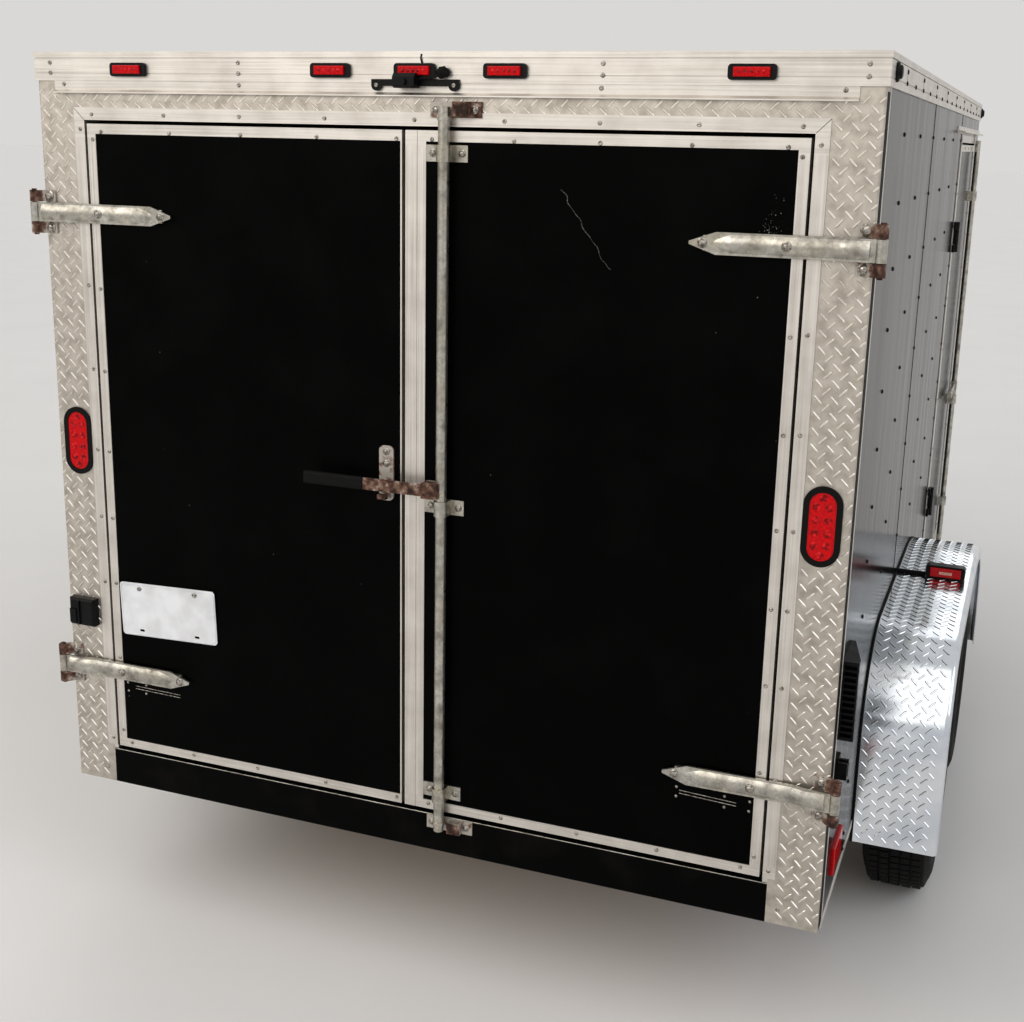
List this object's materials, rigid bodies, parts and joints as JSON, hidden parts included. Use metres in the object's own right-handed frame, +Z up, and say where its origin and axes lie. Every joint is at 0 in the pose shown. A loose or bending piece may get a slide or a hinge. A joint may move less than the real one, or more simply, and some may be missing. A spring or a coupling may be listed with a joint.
{
  "type": "enclosed cargo trailer",
  "caption": "Black enclosed cargo trailer with a tandem axle, barn doors at the rear, a side door and bright tread-plate fenders",
  "frame": {"origin": "on the ground, at the middle of the overall box", "axes": "+X to the curb side with the side door, +Y forward to the coupler, +Z up"},
  "size_m": [2.6, 4.9676, 2.429],
  "materials": {
    "body_black": "gloss",
    "door_black": "satin",
    "frame_black": "satin",
    "tread_plate": "brushed",
    "bright_tread_plate": "polished",
    "mill_aluminium": "brushed",
    "roof_sheet": "brushed",
    "galvanised": "satin",
    "weathered_steel": "rough",
    "black_plastic": "matte",
    "black_rubber": "matte",
    "red_lens": "gloss",
    "plate_white": "gloss",
    "plywood": "satin",
    "wheel_silver": "satin",
    "tyre_rubber": "matte"
  },
  "bodies": {
    "trailer_body": {"wall_left": "body_black", "wall_right": "body_black", "wall_front": "body_black", "stone_guard": "bright_tread_plate", "roof_trim": "mill_aluminium", "roof": "roof_sheet", "rear_frame": "tread_plate", "rear_sill": "frame_black", "rear_drip_rail": "mill_aluminium", "doorway_trim": "mill_aluminium", "floor_deck": "plywood", "floor_frame": "frame_black", "tongue_rails": "frame_black", "coupler": "frame_black", "jack": "galvanised", "axles": "frame_black", "leaf_springs": "frame_black", "spring_hangers": "frame_black", "fender_left": "bright_tread_plate", "fender_right": "bright_tread_plate", "marker_lamps": "red_lens", "lamp_housings": "black_plastic", "tail_lamp_grommets": "black_rubber", "tail_lamps": "red_lens", "side_vents": "black_plastic", "door_hold_backs": "black_plastic", "plate_lamp": "black_plastic", "rear_camera": "black_plastic", "hinge_brackets": "weathered_steel", "rod_keepers": "weathered_steel", "side_door_frame": "mill_aluminium", "side_hinge_blocks": "black_plastic", "side_drip_cap": "mill_aluminium"},
    "rear_door_right": {"door_right_panel": "door_black", "door_right_trim": "mill_aluminium", "door_right_straps": "galvanised", "lock_rod": "galvanised", "rod_guides": "galvanised", "lock_handle": "weathered_steel", "lock_grip": "black_rubber"},
    "rear_door_left": {"door_left_panel": "door_black", "door_left_trim": "mill_aluminium", "door_left_straps": "galvanised", "door_hasp": "weathered_steel", "licence_plate": "plate_white"},
    "side_door": {"side_door_panel": "body_black", "side_door_trim": "mill_aluminium", "side_door_hinges": "black_plastic", "side_door_bar": "galvanised"},
    "wheel_rear_left": {"rim_rear_left": "wheel_silver", "tyre_rear_left": "tyre_rubber"},
    "wheel_rear_right": {"rim_rear_right": "wheel_silver", "tyre_rear_right": "tyre_rubber"},
    "wheel_front_left": {"rim_front_left": "wheel_silver", "tyre_front_left": "tyre_rubber"},
    "wheel_front_right": {"rim_front_right": "wheel_silver", "tyre_front_right": "tyre_rubber"}
  },
  "joints": [
    {"name": "rear_door_right_swing", "type": "hinge", "parent": "trailer_body", "child": "rear_door_right", "pos_m": [1.084, -2.4518, 1.375], "axis": [0, 0, 1], "range_deg": [0, 240]},
    {"name": "rear_door_left_swing", "type": "hinge", "parent": "trailer_body", "child": "rear_door_left", "pos_m": [-1.084, -2.4518, 1.375], "axis": [0, 0, -1], "range_deg": [0, 240]},
    {"name": "side_door_swing", "type": "hinge", "parent": "trailer_body", "child": "side_door", "pos_m": [1.0808, 0.0562, 1.372], "axis": [0, 0, -1], "range_deg": [0, 115]},
    {"name": "wheel_rear_left_turn", "type": "hinge", "parent": "trailer_body", "child": "wheel_rear_left", "pos_m": [-1.18, -1.3363, 0.343], "axis": [1, 0, 0], "continuous": true},
    {"name": "wheel_rear_right_turn", "type": "hinge", "parent": "trailer_body", "child": "wheel_rear_right", "pos_m": [1.18, -1.3363, 0.343], "axis": [1, 0, 0], "continuous": true},
    {"name": "wheel_front_left_turn", "type": "hinge", "parent": "trailer_body", "child": "wheel_front_left", "pos_m": [-1.18, -0.4983, 0.343], "axis": [1, 0, 0], "continuous": true},
    {"name": "wheel_front_right_turn", "type": "hinge", "parent": "trailer_body", "child": "wheel_front_right", "pos_m": [1.18, -0.4983, 0.343], "axis": [1, 0, 0], "continuous": true}
  ],
  "couplings": [
    {"joint": "rear_door_left_swing", "follows": "rear_door_right_swing", "ratio": 1}
  ]
}
